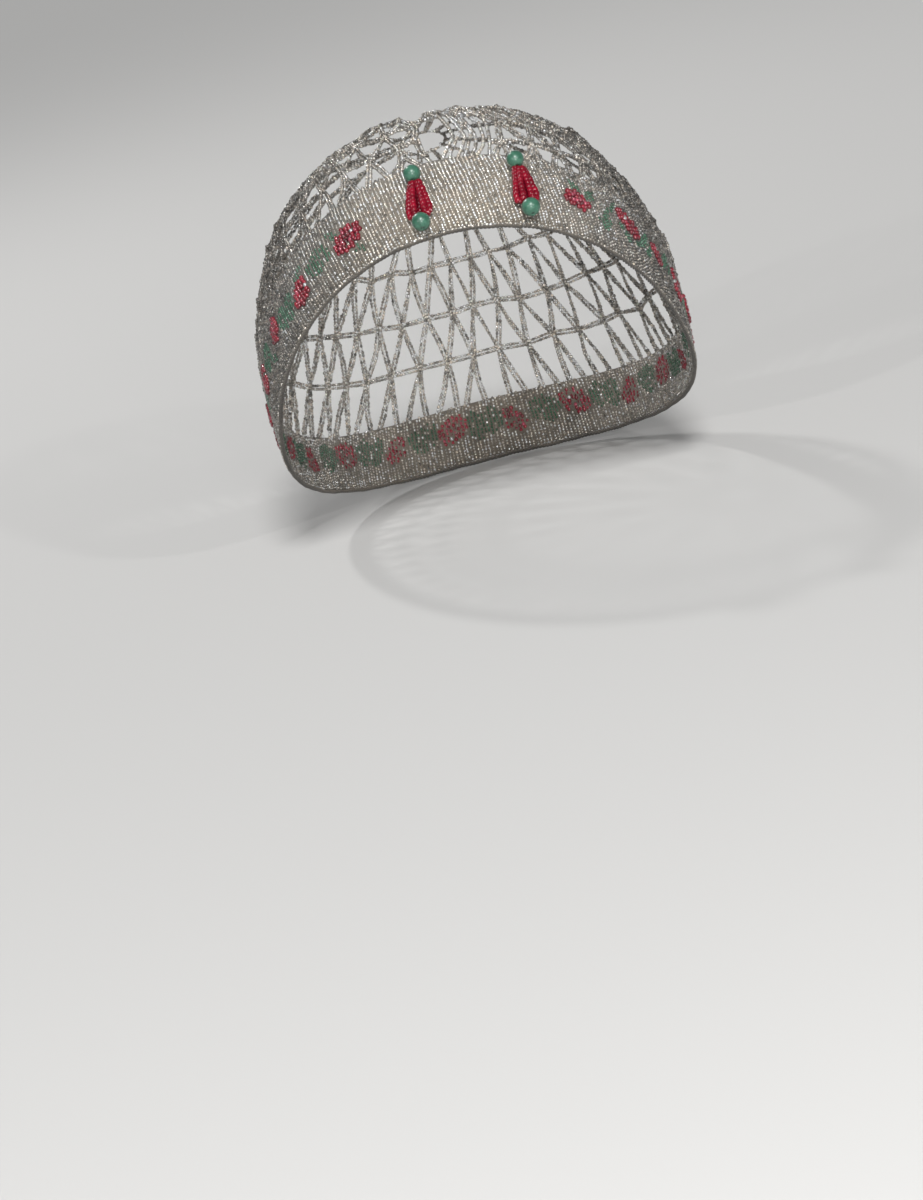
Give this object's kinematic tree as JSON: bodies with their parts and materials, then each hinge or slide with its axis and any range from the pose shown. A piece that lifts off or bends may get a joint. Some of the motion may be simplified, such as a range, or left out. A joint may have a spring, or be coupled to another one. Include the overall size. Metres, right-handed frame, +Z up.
{
  "type": "beaded flapper cap",
  "caption": "Close-fitting cap of beadwork: a deep beaded band, an openwork bead net over the crown, a corded hem and glass ornaments that hang on the band.",
  "frame": {"origin": "top of the hollow: the point where the inside of the crown rests on the top of the head, on the middle plane", "axes": "+Z up on an upright head, -Y towards the wearer's face, +X towards the wearer's left side"},
  "size_m": [0.16, 0.176, 0.1508],
  "materials": {
    "silver_beads": "tiny silver-lined glass beads strung on beige thread, grey with bright points",
    "thread": "matt beige cotton thread",
    "green_glass": "opaque pale green glass, polished",
    "red_glass": "deep red glass beads, polished"
  },
  "bodies": {
    "root": {"beaded_band": "silver_beads", "hem_cord": "thread", "net_crown": "silver_beads", "left_upper_bead": "green_glass", "left_red_strands": "red_glass", "left_lower_bead": "green_glass", "right_upper_bead": "green_glass", "right_red_strands": "red_glass", "right_lower_bead": "green_glass"}
  },
  "joints": []
}
